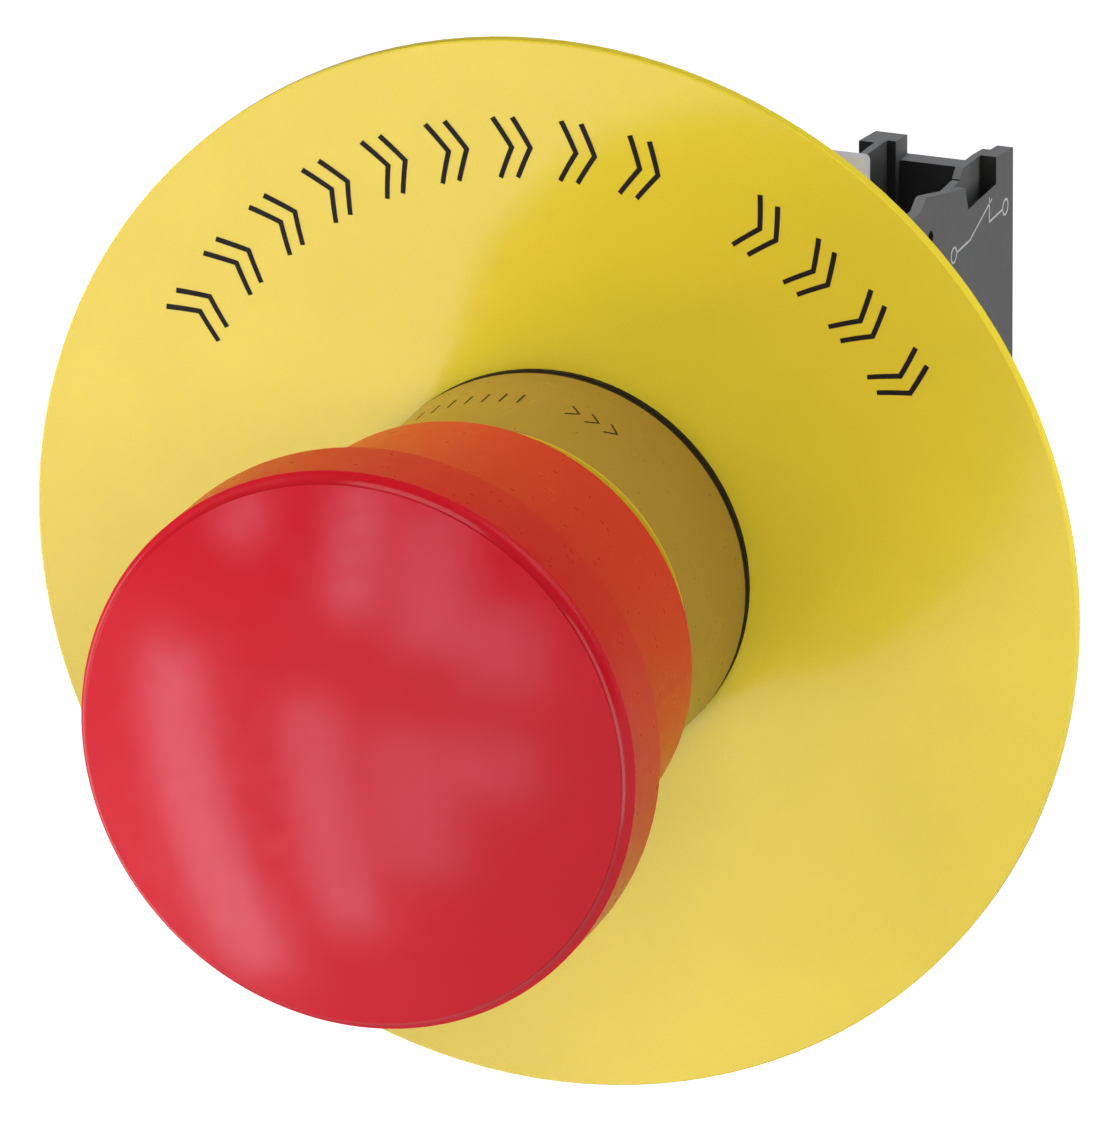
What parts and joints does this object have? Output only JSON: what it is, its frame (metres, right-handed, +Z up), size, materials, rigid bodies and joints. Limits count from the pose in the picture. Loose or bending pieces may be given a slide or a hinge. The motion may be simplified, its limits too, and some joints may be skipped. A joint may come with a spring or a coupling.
{
  "type": "emergency stop button",
  "caption": "Panel-mounted mushroom push button with round yellow legend plate, twist release, rear holder and plug-on contact modules.",
  "frame": {"origin": "centre of the panel hole in the panel plane, which is the back face of the legend plate", "axes": "+Y along the barrel, away from the operator; +Z up; +X to the right as the operator sees it"},
  "size_m": [0.075, 0.094, 0.075],
  "materials": {
    "yellow_plastic": "satin moulded",
    "yellow_collar": "satin moulded",
    "red_plastic": "glossy moulded",
    "red_cap": "glossy moulded",
    "black_rubber": "matt",
    "black_plastic": "fine texture",
    "grey_plastic": "fine texture",
    "white_plastic": "smooth",
    "natural_plastic": "smooth",
    "spring_steel": "drawn wire",
    "zinc_steel": "zinc plated",
    "contact_brass": "rolled strip"
  },
  "bodies": {
    "front": {"legend_plate": "yellow_plastic", "front_seal": "black_rubber", "collar": "yellow_collar", "barrel": "black_plastic", "stem_seal": "black_rubber", "spring_retainer": "black_plastic"},
    "ram": {"ram": "black_plastic", "presser_foot": "natural_plastic", "presser_screw": "zinc_steel", "return_spring": "spring_steel", "release_spring": "spring_steel", "shaft_retaining_pins": "zinc_steel", "latch_spring": "spring_steel"},
    "mushroom": {"mushroom_shell": "red_plastic", "mushroom_cap": "red_cap", "mushroom_screw": "zinc_steel", "release_shaft": "natural_plastic"},
    "latch_pin_right": {"latch_pin_right": "zinc_steel"},
    "latch_pin_left": {"latch_pin_left": "zinc_steel"},
    "holder": {"module_holder": "grey_plastic", "holder_locking_screw": "zinc_steel", "marker_plate": "white_plastic", "nc_contact_housing": "grey_plastic", "nc_contact_cover": "grey_plastic", "nc_fixed_contacts": "contact_brass", "nc_terminal_clamps": "zinc_steel", "nc_terminal_screws": "zinc_steel", "nc_plunger_spring": "spring_steel", "no_contact_housing": "grey_plastic", "no_contact_cover": "grey_plastic", "no_fixed_contacts": "contact_brass", "no_terminal_clamps": "zinc_steel", "no_terminal_screws": "zinc_steel", "no_plunger_spring": "spring_steel"},
    "nc_plunger": {"nc_contact_plunger": "natural_plastic", "nc_contact_bridge": "contact_brass", "nc_contact_spring": "spring_steel"},
    "no_plunger": {"no_contact_plunger": "natural_plastic", "no_contact_spring": "spring_steel"},
    "no_bridge": {"no_contact_bridge": "contact_brass"}
  },
  "joints": [
    {"name": "push", "type": "slide", "parent": "front", "child": "ram", "axis": [0, 1, 0], "range_m": [0, 0.005], "stiffness_N_per_m": 1500, "springref_m": -0.004, "deforming": ["return_spring"]},
    {"name": "twist_to_release", "type": "hinge", "parent": "ram", "child": "mushroom", "pos_m": [0, -0.03, 0], "axis": [0, 1, 0], "range_deg": [0, 40], "stiffness_Nm_per_rad": 0.25, "springref_deg": -11.46},
    {"name": "latch_pin_right_slide", "type": "slide", "parent": "ram", "child": "latch_pin_right", "axis": [1, 0, 0], "range_m": [0, 0.001], "deforming": ["latch_spring"]},
    {"name": "latch_pin_left_slide", "type": "slide", "parent": "ram", "child": "latch_pin_left", "axis": [-1, 0, 0], "range_m": [0, 0.001]},
    {"name": "holder_slide", "type": "slide", "parent": "front", "child": "holder", "axis": [0, 1, 0], "range_m": [0, 0.045]},
    {"name": "nc_plunger_slide", "type": "slide", "parent": "holder", "child": "nc_plunger", "axis": [0, 1, 0], "range_m": [0, 0.005], "deforming": ["nc_plunger_spring"]},
    {"name": "no_plunger_slide", "type": "slide", "parent": "holder", "child": "no_plunger", "axis": [0, 1, 0], "range_m": [0, 0.005], "deforming": ["no_plunger_spring"]},
    {"name": "no_bridge_slide", "type": "slide", "parent": "holder", "child": "no_bridge", "axis": [0, 1, 0], "range_m": [0, 0.003], "deforming": ["no_contact_spring"]}
  ],
  "couplings": [
    {"joint": "latch_pin_right_slide", "follows": "push", "ratio": 0.2},
    {"joint": "latch_pin_left_slide", "follows": "push", "ratio": 0.2},
    {"joint": "nc_plunger_slide", "follows": "push", "ratio": 1},
    {"joint": "no_plunger_slide", "follows": "push", "ratio": 1},
    {"joint": "no_bridge_slide", "follows": "push", "ratio": 0.6}
  ]
}
